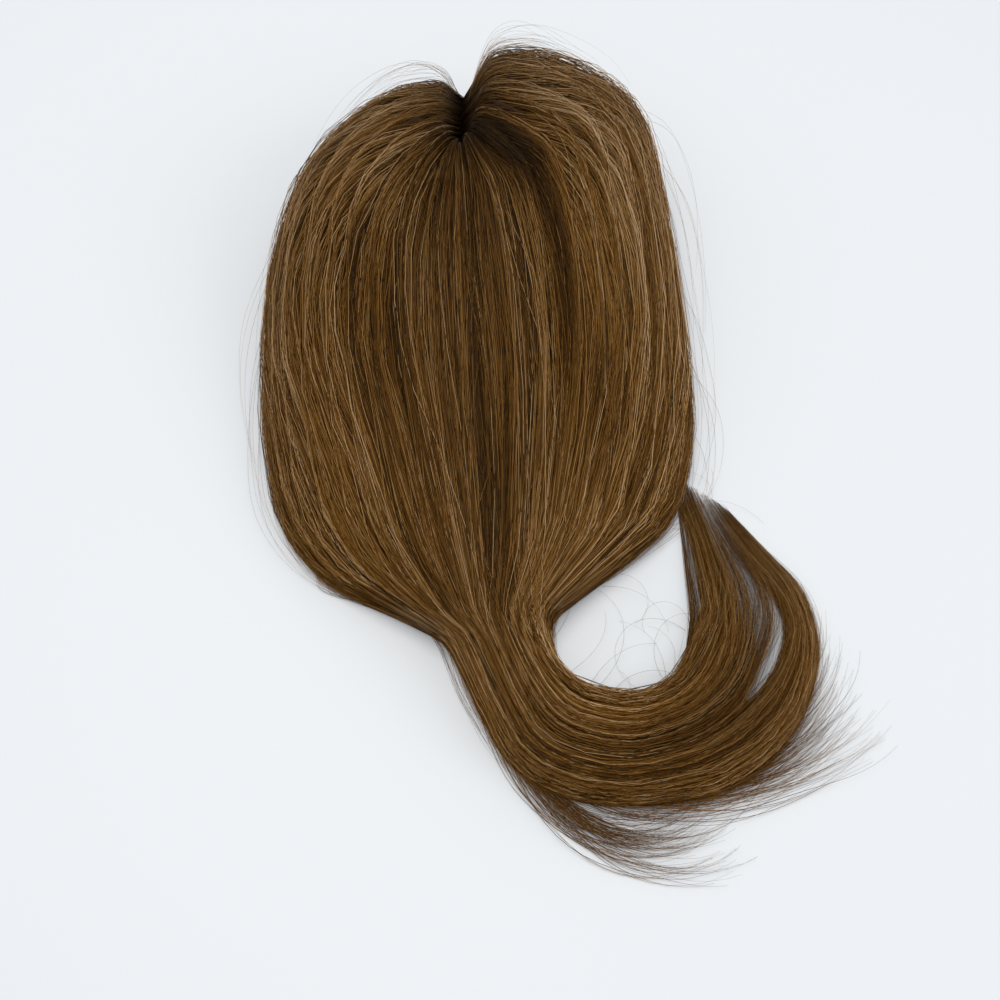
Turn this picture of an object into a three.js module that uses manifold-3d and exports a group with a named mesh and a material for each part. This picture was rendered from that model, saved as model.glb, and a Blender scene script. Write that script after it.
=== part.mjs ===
// Hair topper: a domed base cap that clips to the wearer's own hair, and a head of long
// straight hair that is parted above it, gathered behind it and laid round in a curl.
// Millimetres, +Z up, +Y to the wearer's forehead. It lies on Z = 0.

import * as THREE from 'three';
import { mergeVertices } from 'three/addons/utils/BufferGeometryUtils.js';
import Module from 'manifold-3d';

const wasm = await Module();
wasm.setup();

// Base cap: a mesh dome cut to a rounded outline
const CAP_WIDTH = 130;
const CAP_LENGTH = 148;
const CAP_RISE = 36;
const CAP_WALL = 1.6;
const CAP_CORNERS = 2.5;
const CAP_CURVE = 2.3;
const RIM_SLANT = 1.3;

// Snap clips, sewn inside the cap with their combs to the rim
const CLIP_LENGTH = 32;
const CLIP_BAND = 7;
const CLIP_TEETH = 6;
const CLIP_TOOTH_LENGTH = 5;
const CLIP_TOOTH_WIDTH = 2;
const CLIP_THICK = 1.2;
const CLIP_EYELET = 1.8;
const CLIP_FROM_RIM = 5;
const RIM_STEEPNESS = 0.8;

// Hair: how far it covers and lies past the cap, and how far it falls and curls behind it
const SIDE_COVER = 18;
const FRONT_COVER = 12;
const CROWN_LOFT = 22;
const FALL_LENGTH = 94;
const TAIL_PAST_SIDE = 50;
const TAIL_DROP = 48;
const HAIR_EDGE = 1.2;
const ARCH_SPREAD = 0.8;

// Locks: the relief between them, how far they differ, and how full and high their ends are
const LOCK_DEPTH = 0.1;
const LOCK_MIDDLE = 0.6;
const LOCK_VARIETY = 0.4;
const LOCK_DRIFT = 0.02;
const LOCK_TIP = 0.8;
const LOCK_FILL = 0.68;
const LOCK_LOW = 0.3;
const LOCK_UNDER = 0.95;
const LOCK_ROUND = 0.15;
const LOCK_SECTION = [[-1, 0.25], [-0.6, 0.8], [0, 1], [0.6, 0.8], [1, 0.25]];
const TIP_STAGGER = 0.03;
const STRAY_LOW = 0.25;
const STRAY_OVERLAP = 0.2;
const STRAY_AIM = 0.12;

// Clearances between separate pieces
const SEAT_GAP = 0.3;
const CLIP_GAP = 0.7;
const SECTION_GAP = 0.6;
const ROOM_BELOW = 5;

// How finely the shapes are divided
const CAP_SEGMENTS = 36;
const CAP_RINGS = 6;
const STATIONS = 33;
const STATION_DRIFT = 1.08;
const COLUMNS_PER_LOCK = 3;
const LOCK_STEPS = 7;
const EYELET_SIDES = 5;
const SMALL_SHARE = 0.001;

const HALF_WIDTH = CAP_WIDTH / 2 + SIDE_COVER;
const FRONT_REACH = CAP_LENGTH / 2 + FRONT_COVER;
const BACK_REACH = CAP_LENGTH / 2 + FALL_LENGTH;
const CROWN_HEIGHT = CAP_RISE + CROWN_LOFT;
const NECK_X = 0.085 * HALF_WIDTH;
const TAIL_SPAN = HALF_WIDTH - NECK_X + TAIL_PAST_SIDE;

function table(columns, rows) {
  const names = columns.split(' ');
  return rows.map((row) => Object.fromEntries(names.map((name, i) => [name, row[i]])));
}

// Lines across the hair, from the parting down to the neck. X is a share of HALF_WIDTH, Y of
// FRONT_REACH or BACK_REACH, crest of CROWN_HEIGHT. Belly widens the middle of the line.
const CROWN_ROWS = table('name leftX leftY midX midY belly rightX rightY crest square lean', [
  ['parting', -0.09, 0.88, -0.08, 0.28, 0.01, -0.07, 0.89, 0.88, 3.6, 0.0],
  ['roots', -0.20, 0.99, -0.08, 0.21, 0.22, 0.06, 1.14, 1.02, 3.8, 0.03],
  ['lobes', -0.45, 0.93, -0.07, 0.09, 0.40, 0.34, 1.15, 1.02, 4.0, 0.04],
  ['brow', -0.73, 0.70, -0.05, -0.04, 0.46, 0.67, 0.99, 1.00, 3.6, 0.06],
  ['temple', -0.91, 0.43, -0.04, -0.15, 0.42, 0.86, 0.72, 0.95, 3.2, 0.06],
  ['side', -0.995, 0.10, -0.02, -0.26, 0.38, 0.935, 0.28, 0.87, 2.8, 0.04],
  ['widest', -1.02, -0.13, 0.0, -0.38, 0.35, 0.965, -0.08, 0.75, 2.5, 0.02],
  ['nape', -1.01, -0.32, 0.02, -0.50, 0.33, 0.985, -0.30, 0.62, 2.4, 0.0],
  ['fall', -0.955, -0.51, 0.04, -0.63, 0.32, 0.965, -0.50, 0.50, 2.3, 0.0],
  ['gather', -0.85, -0.69, 0.05, -0.755, 0.29, 0.85, -0.68, 0.43, 2.3, 0.0],
  ['narrow', -0.64, -0.825, 0.06, -0.855, 0.21, 0.60, -0.80, 0.40, 2.2, 0.0],
  ['tie', -0.35, -0.90, 0.06, -0.935, 0.145, 0.385, -0.875, 0.39, 2.2, 0.0],
]);

// The same lines round the curl. X is a share of TAIL_SPAN from the neck, Y of TAIL_DROP
// behind it, crest of CROWN_HEIGHT. The left end is the outside of the curl.
const TAIL_ROWS = table('name leftX leftY midX midY rightX rightY crest', [
  ['neck', -0.135, -0.12, 0.01, -0.02, 0.145, -0.24, 0.39],
  ['turn', -0.05, 0.34, 0.06, 0.30, 0.16, 0.02, 0.37],
  ['bend', 0.035, 0.72, 0.125, 0.56, 0.215, 0.18, 0.34],
  ['bowl', 0.16, 0.92, 0.23, 0.68, 0.295, 0.25, 0.30],
  ['sweep', 0.345, 0.98, 0.365, 0.69, 0.39, 0.24, 0.27],
  ['rise', 0.575, 0.87, 0.535, 0.52, 0.475, 0.10, 0.23],
  ['fan', 0.765, 0.49, 0.665, 0.20, 0.52, -0.17, 0.19],
  ['spread', 0.86, -0.04, 0.71, -0.24, 0.535, -0.52, 0.15],
  ['lift', 0.845, -0.54, 0.69, -0.69, 0.53, -0.89, 0.10],
  ['tips', 0.75, -0.91, 0.64, -1.07, 0.525, -1.23, 0.05],
]);
const TAIL_BELLY = 1 / 6;
const TAIL_SQUARE = 2.2;

// The hair's three sections, as shares from the left edge to the right, and their locks
const SECTIONS = table('name from to locks', [
  ['hair_left', 0.0, 0.29, 5],
  ['hair_back', 0.29, 0.71, 10],
  ['hair_right', 0.71, 1.0, 5],
]);
const SHEET_END = 0.93;
const THINS_FROM = 0.84;
const SHEET_THINNING = 0.75;
const LOCK_START = 0.82;

// Loose locks that leave the outside of the curl. Spread is a share of TAIL_DROP, width and
// height are shares of CROWN_HEIGHT.
const STRAY_LOCKS = table('section from to spread width height', [
  ['hair_left', 0.62, 0.785, 0.42, 0.15, 0.13],
  ['hair_left', 0.68, 0.84, 0.17, 0.13, 0.12],
  ['hair_left', 0.75, 0.875, 0.50, 0.14, 0.10],
]);

const CLIPS = table('name turn', [
  ['clip_right', 0],
  ['clip_front', 0.25],
  ['clip_left', 0.5],
  ['clip_back', 0.75],
]);

const FINISHES = {
  hair: new THREE.MeshStandardMaterial({ color: 0x4a3018, roughness: 0.45, metalness: 0 }),
  cap: new THREE.MeshStandardMaterial({ color: 0x2a1d12, roughness: 0.9, metalness: 0 }),
  clip: new THREE.MeshStandardMaterial({ color: 0x34343a, roughness: 0.35, metalness: 0.7 }),
};

// A line across the hair in millimetres, from one row of shares
function crownLine(row) {
  const reach = (share) => share * (share < 0 ? BACK_REACH : FRONT_REACH);
  return {
    left: [row.leftX * HALF_WIDTH, reach(row.leftY)],
    mid: [row.midX * HALF_WIDTH, reach(row.midY)],
    right: [row.rightX * HALF_WIDTH, reach(row.rightY)],
    belly: row.belly * HALF_WIDTH,
    crest: row.crest * CROWN_HEIGHT,
    square: row.square,
    lean: row.lean,
  };
}

function tailLine(row) {
  const place = (x, y) => [NECK_X + x * TAIL_SPAN, -BACK_REACH - y * TAIL_DROP];
  const left = place(row.leftX, row.leftY);
  const right = place(row.rightX, row.rightY);
  return {
    left,
    mid: place(row.midX, row.midY),
    right,
    belly: TAIL_BELLY * Math.hypot(left[0] - right[0], left[1] - right[1]),
    crest: row.crest * CROWN_HEIGHT,
    square: TAIL_SQUARE,
    lean: 0,
  };
}

const LINES = [...CROWN_ROWS.map(crownLine), ...TAIL_ROWS.map(tailLine)];

// A smooth curve through four neighbouring values
function smooth(a, b, c, d, t) {
  const bend = 2 * a - 5 * b + 4 * c - d;
  const twist = 3 * b - a - 3 * c + d;
  return 0.5 * (2 * b + (c - a) * t + bend * t * t + twist * t * t * t);
}

// The line across the hair at a share of the way from the parting to the tips
function lineAt(along) {
  const last = LINES.length - 1;
  const place = Math.min(Math.max(along, 0), 1) * last;
  const i = Math.min(Math.floor(place), last - 1);
  const value = (read) => {
    const b = read(LINES[i]);
    const c = read(LINES[i + 1]);
    const a = i > 0 ? read(LINES[i - 1]) : 2 * b - c;
    const d = i + 2 <= last ? read(LINES[i + 2]) : 2 * c - b;
    return smooth(a, b, c, d, place - i);
  };
  const pair = (name) => [0, 1].map((axis) => value((line) => line[name][axis]));
  const one = (name) => value((line) => line[name]);
  return {
    left: pair('left'),
    mid: pair('mid'),
    right: pair('right'),
    belly: one('belly'),
    crest: one('crest'),
    square: one('square'),
    lean: one('lean'),
  };
}

// A place on that line in plan: a cubic curve from its left end through its middle
function planPoint(line, across) {
  const { left, mid, right, belly } = line;
  const span = Math.hypot(left[0] - right[0], left[1] - right[1]);
  const t = across;
  return [0, 1].map((axis) => {
    const centre = (8 * mid[axis] - left[axis] - right[axis]) / 6;
    const side = (belly * (left[axis] - right[axis])) / span;
    const bow = 3 * t * (1 - t) * ((1 - t) * (centre + side) + t * (centre - side));
    return (1 - t) ** 3 * left[axis] + bow + t ** 3 * right[axis];
  });
}

// Turns a share of the way over the hair's arch into a share of the way across in plan
function acrossFromArch(arch) {
  const c = Math.cos(Math.PI * arch);
  return (1 - Math.sign(c) * Math.abs(c) ** ARCH_SPREAD) / 2;
}

function archHeight(line, across) {
  const s = 2 * across - 1;
  const rise = (1 - Math.min(Math.abs(s), 1) ** line.square) ** (1 / line.square);
  return rise * line.crest * (1 + line.lean * s);
}

// Where a lock's edge lies over the arch: locks are not all of one width
function lockArch({ from, to }, share) {
  return from + (to - from) * (share + LOCK_DRIFT * Math.sin(6 * Math.PI * share));
}

// Locks swell between shallow grooves, each a little different from the next
function lockSwell(lock, share) {
  const strength = 1 + LOCK_VARIETY * Math.sin(2.4 * lock);
  return 1 + LOCK_DEPTH * strength * (Math.sin(Math.PI * share) - LOCK_MIDDLE);
}

function smoothStep(from, to, value) {
  const t = Math.min(Math.max((value - from) / (to - from), 0), 1);
  return t * t * (3 - 2 * t);
}

// A closed solid whose top is a grid of points and whose underside is flat at Z = 0
function slab(topRows) {
  const last = topRows.length - 1;
  const end = topRows[0].length - 1;
  const rim = [
    ...topRows.map((_, j) => [j, 0]),
    ...topRows[last].slice(1).map((_, i) => [last, i + 1]),
    ...topRows.slice(0, last).map((_, j) => [last - 1 - j, end]),
    ...topRows[0].slice(1, end).map((_, i) => [0, end - 1 - i]),
  ];
  const outline = rim.map(([j, i]) => new THREE.Vector2(topRows[j][i][0], topRows[j][i][1]));
  const positions = [...topRows.flat(2), ...outline.flatMap(({ x, y }) => [x, y, 0])];
  const top = (j, i) => j * (end + 1) + i;
  const base = (k) => (last + 1) * (end + 1) + (k % rim.length);
  const indices = [];
  for (let j = 0; j < last; j += 1) {
    for (let i = 0; i < end; i += 1) {
      indices.push(top(j, i), top(j + 1, i), top(j + 1, i + 1));
      indices.push(top(j, i), top(j + 1, i + 1), top(j, i + 1));
    }
  }
  rim.forEach(([j, i], k) => {
    const next = top(...rim[(k + 1) % rim.length]);
    indices.push(top(j, i), base(k), base(k + 1), top(j, i), base(k + 1), next);
  });
  for (const [a, b, c] of THREE.ShapeUtils.triangulateShape(outline, [])) {
    indices.push(base(a), base(c), base(b));
  }
  return solidOf(positions, indices);
}

function solidOf(positions, indices) {
  return new wasm.Manifold(new wasm.Mesh({
    numProp: 3,
    vertProperties: new Float32Array(positions),
    triVerts: new Uint32Array(indices),
  }));
}

// One section of the hair, from the parting to where its locks part from each other
function hairSheet(section) {
  const { from, to, locks } = section;
  const columns = locks * COLUMNS_PER_LOCK;
  const rows = [];
  for (let j = 0; j <= STATIONS; j += 1) {
    const along = SHEET_END * (j / STATIONS) ** STATION_DRIFT;
    const line = lineAt(along);
    const inset = (share, inward) => {
      const near = planPoint(line, share);
      const next = planPoint(line, share + inward * SMALL_SHARE);
      const speed = Math.hypot(next[0] - near[0], next[1] - near[1]) / SMALL_SHARE;
      return share + (inward * SECTION_GAP) / 2 / speed;
    };
    const low = from === 0 ? 0 : inset(acrossFromArch(from), 1);
    const high = to === 1 ? 1 : inset(acrossFromArch(to), -1);
    const start = acrossFromArch(from);
    const width = acrossFromArch(to) - start;
    const thin = 1 - SHEET_THINNING * smoothStep(THINS_FROM, SHEET_END, along);
    const row = [];
    for (let i = 0; i <= columns; i += 1) {
      const arch = lockArch(section, i / columns);
      const share = (acrossFromArch(arch) - start) / width;
      const across = low + (high - low) * share;
      const lock = Math.floor(i / COLUMNS_PER_LOCK);
      const swell = lockSwell(lock + locks * from, (i % COLUMNS_PER_LOCK) / COLUMNS_PER_LOCK);
      const [x, y] = planPoint(line, across);
      row.push([x, y, Math.max(archHeight(line, across) * swell * thin, HAIR_EDGE)]);
    }
    rows.push(row);
  }
  return slab(rows);
}

// A tapering lock along a path: centre, half width and height at each step. Its middle leads
// its edges, so that its end is round.
function lockSolid(steps) {
  const rows = steps.map(({ centre, halfWidth, height }, i) => {
    const before = steps[Math.max(i - 1, 0)].centre;
    const after = steps[Math.min(i + 1, steps.length - 1)].centre;
    const length = Math.hypot(after[0] - before[0], after[1] - before[1]);
    const ahead = [(after[0] - before[0]) / length, (after[1] - before[1]) / length];
    return LOCK_SECTION.map(([out, up]) => {
      const behind = LOCK_ROUND * out * out;
      return [
        centre[0] + (ahead[1] * out - ahead[0] * behind) * halfWidth,
        centre[1] - (ahead[0] * out + ahead[1] * behind) * halfWidth,
        height * up,
      ];
    });
  });
  return slab(rows.map((row) => row.reverse()));
}

// The end of each lock, carried on past the sheet to a point of its own
function lockTip(section, lock) {
  const { from, locks } = section;
  const [start, middle, finish] = [0, 0.5, 1].map((part) => (
    acrossFromArch(lockArch(section, (lock + part) / locks))
  ));
  const reach = 1 - TIP_STAGGER * (1 + Math.sin(1.9 * lock + 11 * from));
  const steps = [];
  for (let i = 0; i <= LOCK_STEPS; i += 1) {
    const along = LOCK_START + ((reach - LOCK_START) * i) / LOCK_STEPS;
    const line = lineAt(along);
    const edge = planPoint(line, start);
    const other = planPoint(line, finish);
    const full = Math.hypot(other[0] - edge[0], other[1] - edge[1]) / 2;
    const taper = 1 - smoothStep(0.5, 1.1, i / LOCK_STEPS);
    const width = LOCK_FILL * full * taper;
    const height = LOCK_UNDER * archHeight(line, middle) * (LOCK_LOW + (1 - LOCK_LOW) * taper);
    steps.push({
      centre: planPoint(line, middle),
      halfWidth: Math.max(width, LOCK_TIP / 2),
      height: Math.max(height, LOCK_TIP),
    });
  }
  return lockSolid(steps);
}

function strayLock({ from, to, spread, width, height }) {
  const steps = [];
  for (let i = 0; i <= LOCK_STEPS; i += 1) {
    const share = i / LOCK_STEPS;
    const line = lineAt(from + (to - from) * share);
    const edge = planPoint(line, 0);
    const inner = planPoint(line, STRAY_AIM);
    const length = Math.hypot(edge[0] - inner[0], edge[1] - inner[1]);
    const taper = smoothStep(-0.3, 0.3, share) * (1 - smoothStep(0.35, 1, share));
    const halfWidth = Math.max((width * CROWN_HEIGHT * taper) / 2, LOCK_TIP / 2);
    const out = spread * TAIL_DROP * smoothStep(0.05, 0.85, share) - STRAY_OVERLAP * halfWidth;
    steps.push({
      centre: [0, 1].map((axis) => edge[axis] + ((edge[axis] - inner[axis]) / length) * out),
      halfWidth,
      height: Math.max(height * CROWN_HEIGHT * (STRAY_LOW + (1 - STRAY_LOW) * taper), LOCK_TIP),
    });
  }
  return lockSolid(steps);
}

function capRadius(angle) {
  const x = Math.abs(Math.cos(angle)) / (CAP_WIDTH / 2);
  const y = Math.abs(Math.sin(angle)) / (CAP_LENGTH / 2);
  return (x ** CAP_CORNERS + y ** CAP_CORNERS) ** (-1 / CAP_CORNERS);
}

// A place on the cap at a depth below its outer face: out is 0 at the top and 1 at the rim
function capPoint(angle, out, depth) {
  const radius = (capRadius(angle) - depth * RIM_SLANT) * out;
  const z = (CAP_RISE - depth) * (1 - out ** CAP_CURVE);
  return [radius * Math.cos(angle), radius * Math.sin(angle), z];
}

// A round skin from rings of points, closed by a point at each end
function ringSkin(first, rings, last) {
  const positions = [...first, ...rings.flat(2), ...last];
  const sides = rings[0].length;
  const at = (ring, i) => 1 + ring * sides + (i % sides);
  const end = positions.length / 3 - 1;
  const indices = [];
  for (let i = 0; i < sides; i += 1) {
    indices.push(0, at(0, i), at(0, i + 1));
    for (let ring = 0; ring + 1 < rings.length; ring += 1) {
      indices.push(at(ring, i), at(ring + 1, i), at(ring + 1, i + 1));
      indices.push(at(ring, i), at(ring + 1, i + 1), at(ring, i + 1));
    }
    indices.push(end, at(rings.length - 1, i + 1), at(rings.length - 1, i));
  }
  return { positions, indices };
}

function capRing(out, depth, lower = 0) {
  return Array.from({ length: CAP_SEGMENTS }, (_, i) => {
    const [x, y, z] = capPoint((2 * Math.PI * i) / CAP_SEGMENTS, out, depth);
    return [x, y, z - lower];
  });
}

// The rings lie closer together towards the rim, where the cap turns down
function ringPlaces() {
  const quarter = Math.PI / 2 / CAP_RINGS;
  return Array.from({ length: CAP_RINGS }, (_, i) => Math.sin(quarter * (i + 1)));
}

function capSkin() {
  const outs = ringPlaces();
  const outer = outs.map((out) => capRing(out, 0));
  const inner = outs.map((out) => capRing(out, CAP_WALL)).reverse();
  return ringSkin([0, 0, CAP_RISE], [...outer, ...inner], [0, 0, CAP_RISE - CAP_WALL]);
}

// The room that the hair leaves for the cap, carried on below the rim
function capRoom() {
  const rings = ringPlaces().map((out) => capRing(out, -SEAT_GAP));
  rings.push(capRing(1, -SEAT_GAP, ROOM_BELOW));
  const top = [0, 0, CAP_RISE + SEAT_GAP];
  const { positions, indices } = ringSkin(top, rings, [0, 0, -ROOM_BELOW]);
  return solidOf(positions, indices);
}

// A snap clip's flat outline: a band with an eyelet at each end and a comb along one side
function clipOutline() {
  const half = CLIP_LENGTH / 2;
  const pitch = (CLIP_LENGTH - 4 * CLIP_EYELET) / CLIP_TEETH;
  const outline = new THREE.Shape();
  const corner = CLIP_BAND / 2;
  outline.moveTo(-half + corner, CLIP_BAND);
  outline.absarc(-half + corner, corner, corner, Math.PI / 2, (3 * Math.PI) / 2, false);
  for (let i = 0; i < CLIP_TEETH; i += 1) {
    const x = (i - (CLIP_TEETH - 1) / 2) * pitch;
    outline.lineTo(x - CLIP_TOOTH_WIDTH / 2, 0);
    outline.lineTo(x - CLIP_TOOTH_WIDTH / 2, -CLIP_TOOTH_LENGTH);
    outline.lineTo(x + CLIP_TOOTH_WIDTH / 2, -CLIP_TOOTH_LENGTH);
    outline.lineTo(x + CLIP_TOOTH_WIDTH / 2, 0);
  }
  outline.lineTo(half - corner, 0);
  outline.absarc(half - corner, corner, corner, -Math.PI / 2, Math.PI / 2, false);
  for (let i = CLIP_TEETH; i >= 1; i -= 1) {
    outline.lineTo((i - (CLIP_TEETH + 1) / 2) * pitch, CLIP_BAND);
  }
  for (const side of [-1, 1]) {
    const hole = new THREE.Path();
    hole.absarc(side * (half - corner), corner, CLIP_EYELET / 2, 0, 2 * Math.PI, true);
    outline.holes.push(hole);
  }
  return outline;
}

// The clip bowed to the cap's inner face, clear of its flat facets
function clipGeometry(turn) {
  const flat = new THREE.ExtrudeGeometry(clipOutline(), {
    depth: CLIP_THICK,
    bevelEnabled: false,
    curveSegments: EYELET_SIDES,
  });
  const middle = 2 * Math.PI * turn;
  const radius = capRadius(middle);
  const slope = CAP_RISE * CAP_CURVE * RIM_STEEPNESS;
  const slant = Math.hypot(radius, slope);
  const place = flat.attributes.position;
  for (let i = 0; i < place.count; i += 1) {
    const up = place.getY(i) + CLIP_TOOTH_LENGTH + CLIP_FROM_RIM;
    const depth = CAP_WALL + CLIP_GAP + CLIP_THICK - place.getZ(i);
    const angle = middle + place.getX(i) / radius;
    place.setXYZ(i, ...capPoint(angle, 1 - up / slant, depth));
  }
  flat.deleteAttribute('normal');
  flat.deleteAttribute('uv');
  return mergeVertices(flat, 1e-4);
}

function geometryOf(positions, indices) {
  const geometry = new THREE.BufferGeometry();
  geometry.setAttribute('position', new THREE.Float32BufferAttribute(positions, 3));
  geometry.setIndex(Array.from(indices));
  return geometry;
}

function hairGeometry(section, room) {
  let hair = hairSheet(section);
  for (let lock = 0; lock < section.locks; lock += 1) hair = hair.add(lockTip(section, lock));
  for (const stray of STRAY_LOCKS) {
    if (stray.section === section.name) hair = hair.add(strayLock(stray));
  }
  const mesh = hair.subtract(room).getMesh();
  return geometryOf(mesh.vertProperties, mesh.triVerts);
}

const topper = new THREE.Group();

function addPiece(name, geometry, finish) {
  geometry.computeVertexNormals();
  const mesh = new THREE.Mesh(geometry, finish);
  mesh.name = name;
  topper.add(mesh);
}

const cap = capSkin();
addPiece('base_cap', geometryOf(cap.positions, cap.indices), FINISHES.cap);
for (const clip of CLIPS) addPiece(clip.name, clipGeometry(clip.turn), FINISHES.clip);
const room = capRoom();
for (const section of SECTIONS) {
  addPiece(section.name, hairGeometry(section, room), FINISHES.hair);
}

// The origin is under the middle of the whole, on the surface that it lies on
const bounds = new THREE.Box3().setFromObject(topper);
const centre = bounds.getCenter(new THREE.Vector3());
topper.position.set(-centre.x, -centre.y, -bounds.min.z);
topper.updateMatrixWorld(true);

export default topper;
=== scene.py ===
# A clip-in hair topper laid flat: a domed mesh cap with four snap clips inside, and long brown
# hair that is parted above it, gathered behind it and laid round to the right in a curl.
# Metres, +Z up, +Y to the wearer's forehead. It lies on Z = 0.

import math

import bpy
import numpy as np
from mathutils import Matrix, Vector


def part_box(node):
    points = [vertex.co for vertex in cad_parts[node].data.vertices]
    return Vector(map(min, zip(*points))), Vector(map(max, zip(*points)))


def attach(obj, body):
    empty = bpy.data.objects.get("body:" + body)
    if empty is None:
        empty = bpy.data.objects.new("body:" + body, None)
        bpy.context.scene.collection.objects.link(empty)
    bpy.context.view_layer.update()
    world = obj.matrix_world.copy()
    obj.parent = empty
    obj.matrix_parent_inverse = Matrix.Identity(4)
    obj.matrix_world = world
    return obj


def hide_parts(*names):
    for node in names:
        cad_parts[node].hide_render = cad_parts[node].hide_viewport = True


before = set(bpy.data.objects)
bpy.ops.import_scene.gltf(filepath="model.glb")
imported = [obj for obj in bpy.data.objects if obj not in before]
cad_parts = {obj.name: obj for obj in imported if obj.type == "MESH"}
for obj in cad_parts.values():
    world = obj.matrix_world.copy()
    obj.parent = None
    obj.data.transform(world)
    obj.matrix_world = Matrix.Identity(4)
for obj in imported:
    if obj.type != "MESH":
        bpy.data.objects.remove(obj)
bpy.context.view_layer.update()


# Camera
# The photograph was taken from behind the gathered hair, about a foot above the table,
# looking down at the cap at some 61 degrees.
CAP_LOW, CAP_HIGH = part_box("base_cap")
CAP_CENTRE = Vector(((CAP_LOW.x + CAP_HIGH.x) / 2, (CAP_LOW.y + CAP_HIGH.y) / 2, 0))
CAMERA_PLACE = CAP_CENTRE + Vector((0.008, -0.2815, 0.3226))
CAMERA_PITCH = math.radians(61.3)
LENS = 36

camera_data = bpy.data.cameras.new("camera")
camera_data.lens = LENS
camera_data.sensor_width = 36
camera_data.clip_start = 0.01
camera = bpy.data.objects.new("camera", camera_data)
bpy.context.scene.collection.objects.link(camera)
camera.location = CAMERA_PLACE
camera.rotation_euler = (math.pi / 2 - CAMERA_PITCH, 0, 0)
bpy.context.scene.camera = camera


# Floor and light
# A smooth pale table top in an evenly lit room: one wide soft light overhead, a weaker one
# from the right, and pale walls all round.
FLOOR_SIZE = 40

bpy.ops.object.select_all(action="DESELECT")
bpy.ops.mesh.primitive_plane_add(size=FLOOR_SIZE, location=(0, 0, 0))
floor = bpy.context.object
floor.name = "floor"
paint = bpy.data.materials.new("pale_table")
paint.use_nodes = True
surface = paint.node_tree.nodes["Principled BSDF"]
surface.inputs["Base Color"].default_value = (0.79, 0.81, 0.825, 1)
surface.inputs["Roughness"].default_value = 0.55
floor.data.materials.append(paint)


def area_light(name, place, target, size, power, colour):
    data = bpy.data.lights.new(name, "AREA")
    data.shape = "DISK"
    data.size = size
    data.energy = power
    data.color = colour
    lamp = bpy.data.objects.new(name, data)
    lamp.location = place
    lamp.rotation_euler = (Vector(target) - Vector(place)).to_track_quat("-Z", "Y").to_euler()
    bpy.context.scene.collection.objects.link(lamp)


area_light("overhead", (-0.2, 0.25, 1.5), (0, 0, 0), 0.9, 11, (1, 0.985, 0.96))
area_light("window", (1.3, -0.5, 0.9), (0, 0, 0), 0.9, 5, (0.96, 0.98, 1))

world = bpy.data.worlds.new("room")
world.use_nodes = True
world.node_tree.nodes["Background"].inputs["Color"].default_value = (0.93, 0.96, 1, 1)
world.node_tree.nodes["Background"].inputs["Strength"].default_value = 0.62
bpy.context.scene.world = world
bpy.context.scene.view_settings.view_transform = "Standard"


# Base cap
# The base that the hair is knotted to: a shallow dome of dark stretch mesh, about 13 by 15 cm,
# with a soft tape sewn round the inside of its edge in running stitch.
CAP_CURVE = 2.3
CAP_CORNERS = 2.5
CAP_WALL = 0.0014
CAP_SLOPE = 0.1
CAP_STEPS = 60
RIM_SLANT = 1.3
RIM_REST = 0.0002
TAPE_WIDTH = 0.0044
TAPE_THICK = 0.0009
TAPE_SQUARE = 0.5
TAPE_ROUND = 0.25
TAPE_LOW, TAPE_SUNK = 1.05, 0.4
STITCHES = 120
STITCH_LENGTH = 0.0017
THREAD_RADIUS = 0.00028
NET_COLOUR, NET_GAP = (0.075, 0.046, 0.027), (0.012, 0.007, 0.004)
NET_PITCH, NET_RELIEF = 0.0013, 0.0003
TAPE_COLOUR, TAPE_GAP = (0.060, 0.038, 0.024), (0.020, 0.012, 0.008)
TAPE_PITCH, TAPE_RELIEF = 0.0006, 0.0001
THREAD_COLOUR, THREAD_GAP = (0.11, 0.075, 0.05), (0.03, 0.02, 0.013)
THREAD_PITCH, THREAD_RELIEF = 0.0003, 0.00005


def cap_place(angle, up, depth):
    """Places so far up the slope of the cap from its rim, and so deep below its outer face."""
    half_x = (CAP_HIGH.x - CAP_LOW.x) / 2
    half_y = (CAP_HIGH.y - CAP_LOW.y) / 2
    out_x = (np.abs(np.cos(angle)) / half_x) ** CAP_CORNERS
    out_y = (np.abs(np.sin(angle)) / half_y) ** CAP_CORNERS
    out = 1 - up / CAP_SLOPE
    radius = ((out_x + out_y) ** (-1 / CAP_CORNERS) - depth * RIM_SLANT) * out
    height = np.maximum((CAP_HIGH.z - depth) * (1 - out**CAP_CURVE), RIM_REST)
    x, y = CAP_CENTRE.x + radius * np.cos(angle), CAP_CENTRE.y + radius * np.sin(angle)
    return np.stack([x, y, height + 0 * x], -1)


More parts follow.
